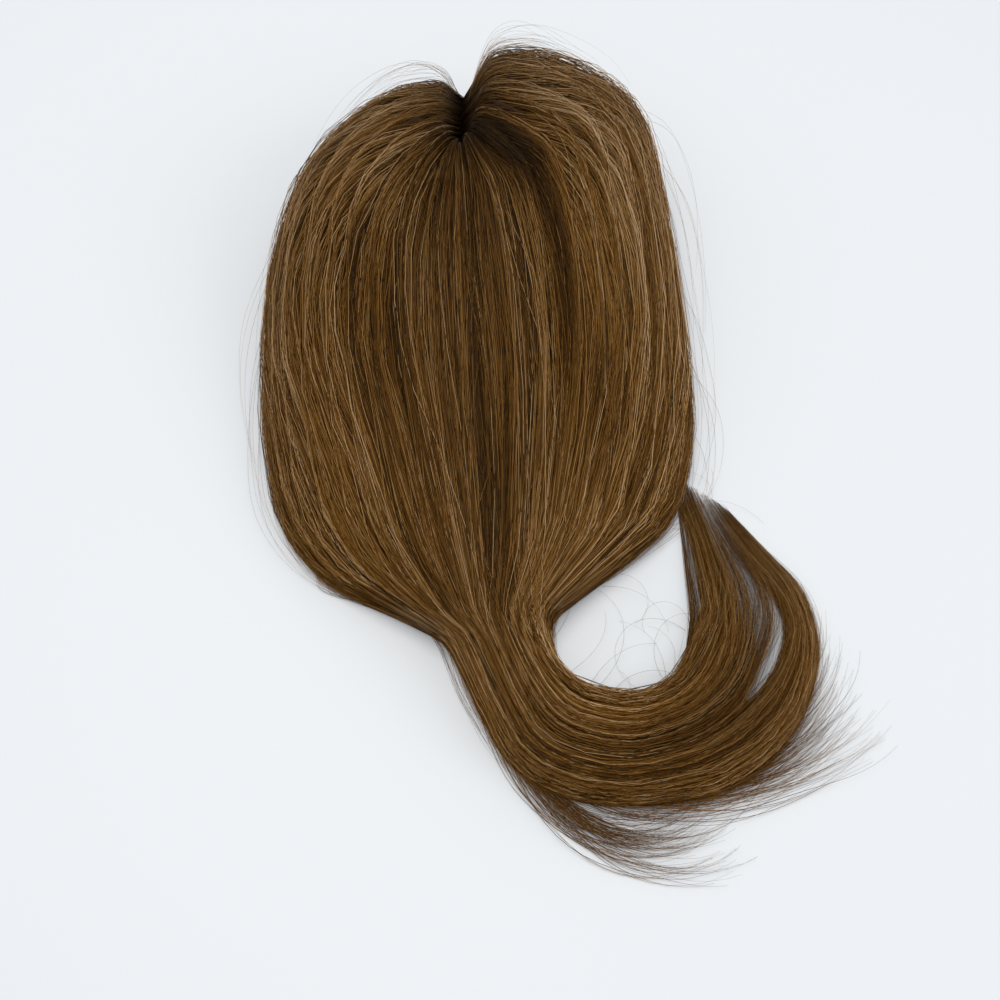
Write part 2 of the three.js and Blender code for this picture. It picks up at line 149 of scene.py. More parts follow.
def knit_material(name, thread, gap, pitch, relief):
    """Threads that cross each other on the slant, with darker gaps between them."""
    material = bpy.data.materials.new(name)
    material.use_nodes = True
    nodes, links = material.node_tree.nodes, material.node_tree.links
    shader = nodes["Principled BSDF"]
    shader.inputs["Roughness"].default_value = 0.85
    shader.inputs["Specular IOR Level"].default_value = 0.25
    shader.inputs["Sheen Weight"].default_value = 0.3
    place = nodes.new("ShaderNodeTexCoord")
    turn = nodes.new("ShaderNodeMapping")
    turn.inputs["Rotation"].default_value = (0, 0, math.radians(45))
    links.new(place.outputs["Object"], turn.inputs["Vector"])
    rows = []
    for axis in "XY":
        wave = nodes.new("ShaderNodeTexWave")
        wave.bands_direction = axis
        wave.inputs["Scale"].default_value = 2 * math.pi / 20 / pitch
        wave.inputs["Distortion"].default_value = 0.8
        wave.inputs["Detail Scale"].default_value = 2
        links.new(turn.outputs["Vector"], wave.inputs["Vector"])
        rows.append(wave.outputs["Fac"])
    cover = nodes.new("ShaderNodeMath")
    cover.operation = "MAXIMUM"
    links.new(rows[0], cover.inputs[0])
    links.new(rows[1], cover.inputs[1])
    wear = nodes.new("ShaderNodeTexNoise")
    wear.inputs["Scale"].default_value = 60
    wear.inputs["Detail"].default_value = 4
    links.new(place.outputs["Object"], wear.inputs["Vector"])
    mottled = nodes.new("ShaderNodeMath")
    mottled.operation = "MULTIPLY"
    links.new(cover.outputs["Value"], mottled.inputs[0])
    links.new(wear.outputs["Fac"], mottled.inputs[1])
    shade = nodes.new("ShaderNodeValToRGB")
    shade.color_ramp.elements[0].position = 0.2
    shade.color_ramp.elements[0].color = (*gap, 1)
    shade.color_ramp.elements[1].position = 0.55
    shade.color_ramp.elements[1].color = (*thread, 1)
    links.new(mottled.outputs["Value"], shade.inputs["Fac"])
    links.new(shade.outputs["Color"], shader.inputs["Base Color"])
    bump = nodes.new("ShaderNodeBump")
    bump.inputs["Strength"].default_value = 0.7
    bump.inputs["Distance"].default_value = relief
    links.new(cover.outputs["Value"], bump.inputs["Height"])
    links.new(bump.outputs["Normal"], shader.inputs["Normal"])
    return material


def mesh_places(mesh):
    places = np.empty(len(mesh.vertices) * 3)
    mesh.vertices.foreach_get("co", places)
    return places.reshape(-1, 3)


def cap_piece(piece, name, material, nodes):
    """Names a finished piece of the cap, gives it its finish, fastens it to the root and hides the
    parts that it stands in for.
    """
    piece.name = name
    piece.data.materials.clear()
    piece.data.materials.append(material)
    piece.data.update()
    for face in piece.data.polygons:
        face.use_smooth = True
    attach(piece, "root")
    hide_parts(*nodes)


def copied_along(start, places, frames):
    """One mesh of copies of a shape: each frame has its length, width and height as rows."""
    shape = mesh_places(start.data)
    faces = [list(face.vertices) for face in start.data.polygons]
    copies = places[:, None] + shape @ frames
    all_faces = [[v + k * len(shape) for v in face] for k in range(len(places)) for face in faces]
    mesh = bpy.data.meshes.new(start.name)
    mesh.from_pydata(copies.reshape(-1, 3).tolist(), [], all_faces)
    bpy.data.objects.remove(start)
    piece = bpy.data.objects.new(mesh.name, mesh)
    bpy.context.scene.collection.objects.link(piece)
    return piece


def cap_frames(angle, up, depth):
    """At places on the cap: along its rim, up its slope, and in from its face."""
    here = cap_place(angle, up, depth)
    along = cap_place(angle + 0.01, up, depth) - here
    slope = cap_place(angle, up + 0.001, depth) - here
    along /= np.linalg.norm(along, axis=-1, keepdims=True)
    inward = np.cross(along, slope)
    inward /= np.linalg.norm(inward, axis=-1, keepdims=True)
    return here, np.stack([along, np.cross(inward, along), inward], 1)


net = knit_material("cap_net", NET_COLOUR, NET_GAP, NET_PITCH, NET_RELIEF)
bpy.ops.object.select_all(action="DESELECT")
bpy.ops.mesh.primitive_grid_add(x_subdivisions=CAP_STEPS, y_subdivisions=CAP_STEPS, size=2)
dome = bpy.context.object
square = mesh_places(dome.data)
disc_x = square[:, 0] * np.sqrt(1 - square[:, 1] ** 2 / 2)
disc_y = square[:, 1] * np.sqrt(1 - square[:, 0] ** 2 / 2)
from_rim = CAP_SLOPE * (1 - np.minimum(np.hypot(disc_x, disc_y), 1))
dome.data.vertices.foreach_set("co", cap_place(np.arctan2(disc_y, disc_x), from_rim, 0).ravel())
dome.data.update()
wall = dome.modifiers.new("wall", "SOLIDIFY")
wall.thickness = CAP_WALL
wall.offset = -1
bpy.ops.object.modifier_apply(modifier=wall.name)
places = mesh_places(dome.data)
places[:, 2] = np.maximum(places[:, 2], RIM_REST)
dome.data.vertices.foreach_set("co", places.ravel())
cap_piece(dome, "cap_dome", net, ["base_cap"])

tape = knit_material("cap_tape", TAPE_COLOUR, TAPE_GAP, TAPE_PITCH, TAPE_RELIEF)
bpy.ops.object.select_all(action="DESELECT")
bpy.ops.mesh.primitive_torus_add(
    major_radius=1, minor_radius=TAPE_ROUND, major_segments=160, minor_segments=12
)
rim_tape = bpy.context.object
ring = mesh_places(rim_tape.data)
profile = np.stack([np.hypot(ring[:, 0], ring[:, 1]) - 1, ring[:, 2]], 1) / TAPE_ROUND
profile = np.sign(profile) * np.abs(profile) ** TAPE_SQUARE
tape_up = TAPE_WIDTH / 2 * (TAPE_LOW - profile[:, 0])
tape_depth = CAP_WALL + TAPE_THICK * (TAPE_SUNK - 0.5 * profile[:, 1])
ring = cap_place(np.arctan2(ring[:, 1], ring[:, 0]), tape_up, tape_depth)
rim_tape.data.vertices.foreach_set("co", ring.ravel())
cap_piece(rim_tape, "cap_tape", tape, ["base_cap"])

thread = knit_material("cap_thread", THREAD_COLOUR, THREAD_GAP, THREAD_PITCH, THREAD_RELIEF)
bpy.ops.object.select_all(action="DESELECT")
bpy.ops.mesh.primitive_uv_sphere_add(segments=8, ring_count=5, radius=THREAD_RADIUS)
stitch = bpy.context.object
bpy.ops.transform.resize(value=(STITCH_LENGTH / 2 / THREAD_RADIUS, 1, 1))
bpy.ops.object.transform_apply(location=False, rotation=False, scale=True)
angles = 2 * np.pi * np.arange(STITCHES) / STITCHES
spots, frames = cap_frames(angles, np.full(STITCHES, TAPE_WIDTH / 2), CAP_WALL + TAPE_THICK)
cap_piece(copied_along(stitch, spots, frames), "cap_stitches", thread, ["base_cap"])


# Snap clips
# Four 32 mm snap clips, pressed from spring steel with a comb along one side and dipped in a
# dark grey coat, each sewn to the inside of the cap by a loop through the eyelet at either end.
CLIPS = {"clip_right": 0, "clip_front": 0.25, "clip_left": 0.5, "clip_back": 0.75}
EYELET_OUT = 0.0125
EYELET_UP = 0.0135
LOOP_RADIUS = 0.0021
LOOP_DEPTH = 0.0026
COAT_COLOUR = (0.030, 0.030, 0.036, 1)
STEEL_COLOUR = (0.20, 0.20, 0.21, 1)


def coated_metal_material():
    """A thin satin coat: slightly uneven, with rubbed spots where the steel shines through."""
    material = bpy.data.materials.new("clip_coat")
    material.use_nodes = True
    nodes, links = material.node_tree.nodes, material.node_tree.links
    shader = nodes["Principled BSDF"]
    shader.inputs["Coat Weight"].default_value = 0.25
    shader.inputs["Coat Roughness"].default_value = 0.3
    place = nodes.new("ShaderNodeTexCoord")
    rubs = nodes.new("ShaderNodeTexNoise")
    rubs.inputs["Scale"].default_value = 900
    rubs.inputs["Detail"].default_value = 6
    links.new(place.outputs["Object"], rubs.inputs["Vector"])
    bare = nodes.new("ShaderNodeMapRange")
    bare.inputs["From Min"].default_value = 0.62
    bare.inputs["From Max"].default_value = 0.72
    links.new(rubs.outputs["Fac"], bare.inputs["Value"])
    shade = nodes.new("ShaderNodeMix")
    shade.data_type = "RGBA"
    shade.inputs["A"].default_value = COAT_COLOUR
    shade.inputs["B"].default_value = STEEL_COLOUR
    links.new(bare.outputs["Result"], shade.inputs["Factor"])
    links.new(shade.outputs["Result"], shader.inputs["Base Color"])
    links.new(bare.outputs["Result"], shader.inputs["Metallic"])
    gloss = nodes.new("ShaderNodeMapRange")
    gloss.inputs["To Min"].default_value = 0.30
    gloss.inputs["To Max"].default_value = 0.50
    links.new(rubs.outputs["Fac"], gloss.inputs["Value"])
    links.new(gloss.outputs["Result"], shader.inputs["Roughness"])
    bump = nodes.new("ShaderNodeBump")
    bump.inputs["Strength"].default_value = 0.3
    bump.inputs["Distance"].default_value = 0.00005
    links.new(rubs.outputs["Fac"], bump.inputs["Height"])
    links.new(bump.outputs["Normal"], shader.inputs["Normal"])
    return material


coat = coated_metal_material()
for name in CLIPS:
    for material_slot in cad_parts[name].material_slots:
        material_slot.material = coat

bpy.ops.object.select_all(action="DESELECT")
bpy.ops.mesh.primitive_torus_add(
    major_radius=LOOP_RADIUS, minor_radius=THREAD_RADIUS, major_segments=20, minor_segments=6
)
thread_loop = bpy.context.object
bpy.ops.transform.rotate(value=math.pi / 2, orient_axis="Y", center_override=(0, 0, 0))
bpy.ops.object.transform_apply(location=False, rotation=True, scale=False)
clip_turns = 2 * np.pi * np.array(list(CLIPS.values()))
rim_ends = cap_place(clip_turns, np.zeros(len(CLIPS)), 0)[:, :2]
clip_radius = np.linalg.norm(rim_ends - [CAP_CENTRE.x, CAP_CENTRE.y], axis=1)
loop_turns = (clip_turns[:, None] + EYELET_OUT * np.array([-1, 1]) / clip_radius[:, None]).ravel()
loop_up = np.full(loop_turns.size, EYELET_UP + LOOP_RADIUS)
spots, frames = cap_frames(loop_turns, loop_up, LOOP_DEPTH)
loops = copied_along(thread_loop, spots, frames)
cap_piece(loops, "clip_threads", thread, ["base_cap"])


# Hair bodies
# The mass of each of the three sections of hair, under its outermost strands: real hair,
# knotted to the cap along the parting, combed down from it and lying in soft locks.
SIDE_COVER = 0.018
FRONT_COVER = 0.012
CROWN_LOFT = 0.022
FALL_LENGTH = 0.094
TAIL_PAST_SIDE = 0.050
TAIL_DROP = 0.048

HALF_WIDTH = (CAP_HIGH.x - CAP_LOW.x) / 2 + SIDE_COVER
FRONT_REACH = (CAP_HIGH.y - CAP_LOW.y) / 2 + FRONT_COVER
BACK_REACH = (CAP_HIGH.y - CAP_LOW.y) / 2 + FALL_LENGTH
CROWN_HEIGHT = CAP_HIGH.z + CROWN_LOFT
NECK_X = 0.085 * HALF_WIDTH
TAIL_SPAN = HALF_WIDTH - NECK_X + TAIL_PAST_SIDE
TAIL_BELLY = 1 / 6
TAIL_SQUARE = 2.2
ARCH_SPREAD = 0.8

# Lines across the hair from the parting to the neck, in shares of the sizes above: the left
# end, the middle, belly, the right end, crest, and how square and how lopsided the arch is
CROWN_LINES = [
    [-0.09, 0.88, -0.08, 0.28, 0.01, -0.07, 0.89, 0.88, 3.6, 0.0],
    [-0.20, 0.99, -0.08, 0.21, 0.22, 0.06, 1.14, 1.02, 3.8, 0.03],
    [-0.45, 0.93, -0.07, 0.09, 0.40, 0.34, 1.15, 1.02, 4.0, 0.04],
    [-0.73, 0.70, -0.05, -0.04, 0.46, 0.67, 0.99, 1.00, 3.6, 0.06],
    [-0.91, 0.43, -0.04, -0.15, 0.42, 0.86, 0.72, 0.95, 3.2, 0.06],
    [-0.995, 0.10, -0.02, -0.26, 0.38, 0.935, 0.28, 0.87, 2.8, 0.04],
    [-1.02, -0.13, 0.0, -0.38, 0.35, 0.965, -0.08, 0.75, 2.5, 0.02],
    [-1.01, -0.32, 0.02, -0.50, 0.33, 0.985, -0.30, 0.62, 2.4, 0.0],
    [-0.955, -0.51, 0.04, -0.63, 0.32, 0.965, -0.50, 0.50, 2.3, 0.0],
    [-0.85, -0.69, 0.05, -0.755, 0.29, 0.85, -0.68, 0.43, 2.3, 0.0],
    [-0.64, -0.825, 0.06, -0.855, 0.21, 0.60, -0.80, 0.40, 2.2, 0.0],
    [-0.35, -0.90, 0.06, -0.935, 0.145, 0.385, -0.875, 0.39, 2.2, 0.0],
]
# The same round the curl, as shares of its span to the right and its drop behind the neck:
# the outer end, the middle, the inner end and the crest
TAIL_LINES = [
    [-0.135, -0.12, 0.01, -0.02, 0.145, -0.24, 0.39],
    [-0.05, 0.34, 0.06, 0.30, 0.16, 0.02, 0.37],
    [0.035, 0.72, 0.125, 0.56, 0.215, 0.18, 0.34],
    [0.16, 0.92, 0.23, 0.68, 0.295, 0.25, 0.30],
    [0.345, 0.98, 0.365, 0.69, 0.39, 0.24, 0.27],
    [0.575, 0.87, 0.535, 0.52, 0.475, 0.10, 0.23],
    [0.765, 0.49, 0.665, 0.20, 0.52, -0.17, 0.19],
    [0.86, -0.04, 0.71, -0.24, 0.535, -0.52, 0.15],
    [0.845, -0.54, 0.69, -0.69, 0.53, -0.89, 0.10],
    [0.75, -0.91, 0.64, -1.07, 0.525, -1.23, 0.05],
]


def line_sizes(rows, tail):
    """Lines in metres: left x y, middle x y, right x y, belly, crest, square, lean."""
    lines = []
    for row in rows:
        if tail:
            places = np.array(row[:6]).reshape(3, 2)
            places = np.array([NECK_X, -BACK_REACH]) + places * [TAIL_SPAN, -TAIL_DROP]
            belly = TAIL_BELLY * np.linalg.norm(places[0] - places[2])
            shape = [TAIL_SQUARE, 0]
        else:
            places = np.array(row[:4] + row[5:7]).reshape(3, 2)
            reach = np.where(places[:, 1] < 0, BACK_REACH, FRONT_REACH)
            places = places * np.stack([np.full(3, HALF_WIDTH), reach], 1)
            belly = row[4] * HALF_WIDTH
            shape = row[8:]
        crest = row[6 if tail else 7] * CROWN_HEIGHT
        places = places + [CAP_CENTRE.x, CAP_CENTRE.y]
        lines.append([*places.ravel(), belly, crest, *shape])
    return np.array(lines)


LINES = np.concatenate([line_sizes(CROWN_LINES, False), line_sizes(TAIL_LINES, True)])


def line_at(along):
    """The line across the hair at shares of the way from the parting, 0, to the tips, 1."""
    last = len(LINES) - 1
    place = np.maximum(along, 0) * last
    i = np.clip(np.floor(place).astype(int), 0, last - 1)
    t = (place - i)[..., None]
    b, c = LINES[i], LINES[i + 1]
    a = np.where(i[..., None] > 0, LINES[np.maximum(i - 1, 0)], 2 * b - c)
    d = np.where(i[..., None] + 2 <= last, LINES[np.minimum(i + 2, last)], 2 * c - b)
    u = np.minimum(t, 1)
    bend = 2 * a - 5 * b + 4 * c - d
    twist = 3 * b - a - 3 * c + d
    curve = 0.5 * (2 * b + (c - a) * u + bend * u * u + twist * u**3)
    return curve + (c - b) * (t - u)


def hair_place(along, arch, depth=1.0):
    """Places in the hair: along from parting to tips, arch from its left edge over to its
    right edge, depth 1 on its surface and 0 at its heart."""
    line = line_at(along)
    left, mid, right = line[..., 0:2], line[..., 2:4], line[..., 4:6]
    belly, crest, square, lean = (line[..., k : k + 1] for k in range(6, 10))
    arch = np.asarray(arch)[..., None] * np.ones_like(belly)
    depth = np.asarray(depth)
    depth = (depth[..., None] if depth.ndim else depth) * np.ones_like(belly)
    swing = -np.cos(np.pi * arch)
    side = np.sign(swing) * np.abs(swing) ** ARCH_SPREAD
    t = (1 + side * depth) / 2
    span = np.linalg.norm(left - right, axis=-1, keepdims=True)
    centre = (8 * mid - left - right) / 6
    bow = belly * (left - right) / span
    plan = (1 - t) ** 3 * left + t**3 * right
    plan = plan + 3 * t * (1 - t) * ((1 - t) * (centre + bow) + t * (centre - bow))
    rise = (1 - np.minimum(np.abs(side), 1) ** square) ** (1 / square)
    height = crest * depth * rise * (1 + lean * side)
    return np.concatenate([plan, height], -1)


def smooth_step(start, end, value):
    t = np.clip((value - start) / (end - start), 0, 1)
    return t * t * (3 - 2 * t)


# Each section's shares of the arch, from the left edge to the right, and its locks
SECTIONS = {
    "hair_left": (0.0, 0.29, 5),
    "hair_back": (0.29, 0.71, 10),
    "hair_right": (0.71, 1.0, 5),
}
LOCK_RELIEF = 0.05
LOCK_MIDDLE, LOCK_VARIETY, LOCK_SHUFFLE = 0.6, 0.4, 2.4
FINE_RELIEF = 0.012
FINE_RIDGES = (97, 61)
BODY_ACROSS, BODY_DOWN = 220, 70
BODY_DEPTH = 0.945
BODY_THINS_FROM, BODY_END = 0.70, 0.85
BODY_THINNING = 0.85
TABLE_GAP = 0.0002
CAP_CLEAR = 0.0005
# How far the undercoat's colours are darkened: painted shade inside the hair
UNDERCOAT_PAINTED_SHADE = 0.45
STREAK_STRETCH = (6, 700, 1)

# The hair's colours from its darkest strand, 0, to its lightest, 1
HAIR_SHADES = [
    (0.0, (0.014, 0.005, 0.001)),
    (0.25, (0.068, 0.0255, 0.003)),
    (0.5, (0.161, 0.067, 0.009)),
    (0.75, (0.325, 0.162, 0.041)),
    (1.0, (0.590, 0.390, 0.205)),
]
# How much of its colour is left near the roots, by place along the hair: painted shade round
# the parting, over roots that are darker
ROOT_SHADOW_AND_DARK_ROOTS = [(0.0, 0.04), (0.02, 0.16), (0.05, 0.48), (0.10, 0.78), (0.20, 0.95), (1.0, 1.0)]


def lock_swell(arch):
    """How far the hair stands out in each lock, above the grooves between them."""
    swell = np.zeros_like(arch)
    for start, end, locks in SECTIONS.values():
        share = np.clip((arch - start) / (end - start), 0, 1) * locks
        number = np.floor(share) + locks * start
        inside = (arch >= start) & (arch <= end)
        lift = np.sin(np.pi * (share % 1)) - LOCK_MIDDLE
        lift = lift * (1 + LOCK_VARIETY * np.sin(LOCK_SHUFFLE * number))
        swell = np.where(inside, lift, swell)
    return swell


def cap_top(x, y):
    """Height of the cap's outer face over a place on the table, below 0 past its rim."""
    half_x = (CAP_HIGH.x - CAP_LOW.x) / 2
    half_y = (CAP_HIGH.y - CAP_LOW.y) / 2
    out_x = np.abs(x - CAP_CENTRE.x) / half_x
    out_y = np.abs(y - CAP_CENTRE.y) / half_y
    out = (out_x**CAP_CORNERS + out_y**CAP_CORNERS) ** (1 / CAP_CORNERS)
    return CAP_HIGH.z * (1 - out**CAP_CURVE)


def fill_ramp(ramp, stops):
    while len(ramp.elements) < len(stops):
        ramp.elements.new(0.5)
    for element, (place, colour) in zip(ramp.elements, stops):
        element.position = place
        element.color = (*colour, 1)


def hair_colour(tree, along, tone, lift=1.0):
    """Colour nodes for hair: dark at the roots, with painted shade there, and a little different
    from strand to strand.
    """
    nodes, links = tree.nodes, tree.links
    shade = nodes.new("ShaderNodeValToRGB")
    shades = [(place, [lift * c for c in colour]) for place, colour in HAIR_SHADES]
    fill_ramp(shade.color_ramp, shades)
    links.new(tone, shade.inputs["Fac"])
    # Painted shade round the parting over darker roots: the share of colour left along the hair
    root = nodes.new("ShaderNodeValToRGB")
    fill_ramp(root.color_ramp, [(place, [value] * 3) for place, value in ROOT_SHADOW_AND_DARK_ROOTS])
    links.new(along, root.inputs["Fac"])
    mix = nodes.new("ShaderNodeMix")
    mix.data_type = "RGBA"
    mix.blend_type = "MULTIPLY"
    mix.inputs["Factor"].default_value = 1
    links.new(shade.outputs["Color"], mix.inputs["A"])
    links.new(root.outputs["Color"], mix.inputs["B"])
    return mix.outputs["Result"]


def undercoat_material():
    """Hair seen between the outer strands: darker, as painted shade inside the hair, and drawn out
    in fine streaks.
    """
    material = bpy.data.materials.new("hair_undercoat")
    material.use_nodes = True
    tree = material.node_tree
    nodes, links = tree.nodes, tree.links
    shader = nodes["Principled BSDF"]
    shader.inputs["Roughness"].default_value = 0.6
    shader.inputs["Specular IOR Level"].default_value = 0.15
    map_node = nodes.new("ShaderNodeUVMap")
    map_node.uv_map = "OFBake"
    stretch = nodes.new("ShaderNodeMapping")
    stretch.inputs["Scale"].default_value = STREAK_STRETCH
    links.new(map_node.outputs["UV"], stretch.inputs["Vector"])
    streaks = nodes.new("ShaderNodeTexNoise")
    streaks.inputs["Scale"].default_value = 1
    streaks.inputs["Detail"].default_value = 3
    streaks.inputs["Roughness"].default_value = 0.7
    links.new(stretch.outputs["Vector"], streaks.inputs["Vector"])
    spread = nodes.new("ShaderNodeMapRange")
    spread.inputs["From Min"].default_value = 0.3
    spread.inputs["From Max"].default_value = 0.7
    spread.inputs["To Min"].default_value = 0.0
    spread.inputs["To Max"].default_value = 0.7
    links.new(streaks.outputs["Fac"], spread.inputs["Value"])
    split = nodes.new("ShaderNodeSeparateXYZ")
    links.new(map_node.outputs["UV"], split.inputs["Vector"])
    # The hair's colours darkened as painted shade, for hair lying in shadow under the strands
    colour = hair_colour(tree, split.outputs["X"], spread.outputs["Result"], UNDERCOAT_PAINTED_SHADE)
    links.new(colour, shader.inputs["Base Color"])
    bump = nodes.new("ShaderNodeBump")
    bump.inputs["Strength"].default_value = 0.6
    bump.inputs["Distance"].default_value = 0.0004
    links.new(streaks.outputs["Fac"], bump.inputs["Height"])
    links.new(bump.outputs["Normal"], shader.inputs["Normal"])
    return material


def hair_body(node, start, end, material):
    """One section's body: a sheet laid over the hair's shape and closed underneath."""
    across = round((end - start) * BODY_ACROSS)
    bpy.ops.object.select_all(action="DESELECT")
    bpy.ops.mesh.primitive_grid_add(x_subdivisions=BODY_DOWN, y_subdivisions=across, size=1)
    body = bpy.context.object
    body.name = node + "_body"
    mesh = body.data
    flat = mesh_places(mesh) + 0.5
    along = BODY_END * flat[:, 0]
    arch = start + (end - start) * flat[:, 1]
    thin = 1 - BODY_THINNING * smooth_step(BODY_THINS_FROM, BODY_END, along)
    fine = np.sin(2 * np.pi * arch * FINE_RIDGES[0])
    fine = fine + 0.6 * np.sin(2 * np.pi * arch * FINE_RIDGES[1] + 1)
    swell = 1 + LOCK_RELIEF * lock_swell(arch) + FINE_RELIEF * fine
    top = hair_place(along, arch, BODY_DEPTH)
    top[:, 2] = np.maximum(top[:, 2] * swell * thin, 2 * TABLE_GAP)
    mesh.vertices.foreach_set("co", top.ravel())
    bpy.ops.object.mode_set(mode="EDIT")
    bpy.ops.mesh.select_all(action="SELECT")
    bpy.ops.mesh.extrude_region_move()
    bpy.ops.object.mode_set(mode="OBJECT")
    places = mesh_places(mesh)
    chosen = np.empty(len(mesh.vertices), bool)
    mesh.vertices.foreach_get("select", chosen)
    under = np.maximum(cap_top(places[:, 0], places[:, 1]) + CAP_CLEAR, TABLE_GAP)
    places[chosen, 2] = np.minimum(under, places[:, 2] - TABLE_GAP)[chosen]
    mesh.vertices.foreach_set("co", places.ravel())
    bpy.ops.object.mode_set(mode="EDIT")
    bpy.ops.mesh.select_all(action="SELECT")
    bpy.ops.mesh.normals_make_consistent(inside=False)
    bpy.ops.object.mode_set(mode="OBJECT")
    mesh.uv_layers[0].name = "OFBake"
    bpy.ops.object.shade_smooth()
    mesh.materials.clear()
    mesh.materials.append(material)
    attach(body, "root")
    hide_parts(node)


undercoat = undercoat_material()
for node, (start, end, _) in SECTIONS.items():
    hair_body(node, start, end, undercoat)


# Hair strands
# The outermost hair of each section, strand by strand: fine straight fibres that gather into
# slender clumps towards the tips, with a few that cross over the rest.
STRANDS, STRAND_STEPS, FINE_STEPS = 1020, 32, 140
BATCHES = {"hair_left": 1, "hair_back": 2, "hair_right": 1}
STRAND_RADIUS, STRAND_TAPER = 0.0001, 0.8
SHORTEST, LONGEST, MOSTLY_LONG = 0.87, 1.04, 0.45
STRAND_WANDER, STRAND_WAVE = 0.0034, 0.004
BEND_LENGTH = 0.25
FACE_STEP = 0.02
CLUMPS = 320
CLUMP_WANDER, CLUMP_RISE, CLUMP_SHADE = 0.004, 0.015, 0.11
ROOT_PULL, TIP_PULL = 0.15, 0.5
ROOT_DRAW, WAIST_DRAW = 0.38, 0.3
LOCK_GATHER = 0.3
LAYER_DEPTH, CROWN_LAYER = 0.05, 0.4
CROWN_SETTLE = 0.035
TIP_SINK = 0.75
CROSSING, CROSSING_DRIFT, CROSSING_RISE, CROSSING_SHADE = 0.08, 0.05, 0.012, 0.12
OVER_FROM, OVER_TO = 0.48, 0.60
OVER_SHARE, OVER_SHIFT, OVER_LEAST, OVER_BACK = 0.45, 0.33, 0.12, 0.7
OVER_RISE, OVER_SHADE = 0.05, 0.22
TIP_DRAW, TIP_TUCK, TIP_LOOSE = 0.17, 0.05, 0.12
TIP_INNER, TIP_OUTER = (0.6, 1.0), (0.0, 0.25)
SLIT_ARCH, SLIT_REACH = 0.49, 0.05
SLIT_WIDTH, SLIT_CLOSE = 0.030, 1.5
SLIT_SWING, SWING_ARCH, SWING_REACH = 0.09, 0.43, 0.14
PARTING_OVERLAP = 0.0014
TONE_SPREAD, TONE_WAVE, LOWER_STRANDS_PAINTED_SHADE = 0.23, 0.02, 0.2
TONE_LIMITS = (0.02, 0.98)
ARCH_LIMITS = (0.001, 0.999)
MAP_ALONG, MAP_TONE = (0.002, 0.998), (0.004, 0.996)
SIDE_SHADE = 0.004

# The stretches of the hair, from the parting, 0, to the tips, 1, over which each change
# comes in or goes out again
PARTING_ENDS = (0.0, 0.03)
CROWN_ENDS, CROWN_OPENS = (0.05, 0.22), (0.02, 0.33)
WAIST_COMES, WAIST_GOES = (0.27, 0.43), (0.5, 0.62)
PULL_COMES = (0.05, 0.75)
DRIFT_COMES = (0.05, 0.7)
OVER_COMES, OVER_GOES, OVER_FADES = (0.44, 0.66), (0.86, 0.97), (0.7, 0.85)
SINK_COMES = (0.72, 0.9)
LOCK_COMES = (0.8, 1.0)
SLIT_COMES, SLIT_GOES = (0.83, 0.90), (0.915, 0.97)
SWING_COMES, SWING_GOES = (0.85, 0.93), (0.93, 0.985)
TIP_COMES, TIP_GOES = (0.84, 0.90), (0.96, 1.02)


def fibre_material():
    material = bpy.data.materials.new("hair_fibre")
    material.use_nodes = True
    tree = material.node_tree
    shader = tree.nodes["Principled BSDF"]
    shader.inputs["Roughness"].default_value = 0.4
    shader.inputs["Specular IOR Level"].default_value = 0.32
    shader.inputs["Specular Tint"].default_value = (1.0, 0.64, 0.30, 1)
    map_node = tree.nodes.new("ShaderNodeUVMap")
    map_node.uv_map = "OFBake"
    split = tree.nodes.new("ShaderNodeSeparateXYZ")
    tree.links.new(map_node.outputs["UV"], split.inputs["Vector"])
    colour = hair_colour(tree, split.outputs["X"], split.outputs["Y"])
    tree.links.new(colour, shader.inputs["Base Color"])
    return material


fibre = fibre_material()


def strand_mesh(name, points, outward, radius, along, tone, nodes):
    """Strands as one mesh: closed tubes of three sides. Points are (strand, step, 3)."""
    count, steps = points.shape[:2]
    run = np.gradient(points, axis=1)
    run /= np.linalg.norm(run, axis=2, keepdims=True) + 1e-12
    side = np.cross(run, outward)
    side /= np.linalg.norm(side, axis=2, keepdims=True) + 1e-12
    up = np.cross(side, run)
    turns = np.radians([90, 210, 330])
    ring = side[:, :, None] * np.cos(turns)[:, None] + up[:, :, None] * np.sin(turns)[:, None]
    places = points[:, :, None] + ring * radius[:, :, None, None]
    places[..., 2] = np.maximum(places[..., 2], TABLE_GAP)
    corner = np.arange(count * steps * 3).reshape(count, steps, 3)
    near, far = corner[:, :-1], corner[:, 1:]
    sides = np.stack([near, np.roll(near, -1, 2), np.roll(far, -1, 2), far], -1)
    ends = np.stack([corner[:, 0, ::-1], corner[:, -1]], 1)
    loops = np.concatenate([sides.ravel(), ends.ravel()])
    quads, caps = sides.size // 4, ends.size // 3
    starts = np.concatenate([4 * np.arange(quads), 4 * quads + 3 * np.arange(caps)])
    mesh = bpy.data.meshes.new(name)
    mesh.vertices.add(corner.size)
    mesh.loops.add(loops.size)
    mesh.polygons.add(starts.size)
    mesh.vertices.foreach_set("co", places.ravel())
    mesh.loops.foreach_set("vertex_index", loops.astype(np.int32))
    mesh.polygons.foreach_set("loop_start", starts.astype(np.int32))
    mesh.update(calc_edges=True)
    uv = np.empty((count, steps, 3, 2))
    uv[..., 0] = np.clip(along, *MAP_ALONG)[:, :, None]
    uv[..., 1] = np.clip(tone[:, :, None] + SIDE_SHADE * np.array([-1, 0, 1]), *MAP_TONE)
    layer = mesh.uv_layers.new(name="OFBake")
    layer.uv.foreach_set("vector", uv.reshape(-1, 2)[loops].ravel())
    mesh.polygons.foreach_set("use_smooth", np.ones(starts.size, bool))
    mesh.validate()
    mesh.materials.append(fibre)
    piece = bpy.data.objects.new(name, mesh)
    bpy.context.scene.collection.objects.link(piece)
    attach(piece, "root")
    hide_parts(*nodes)


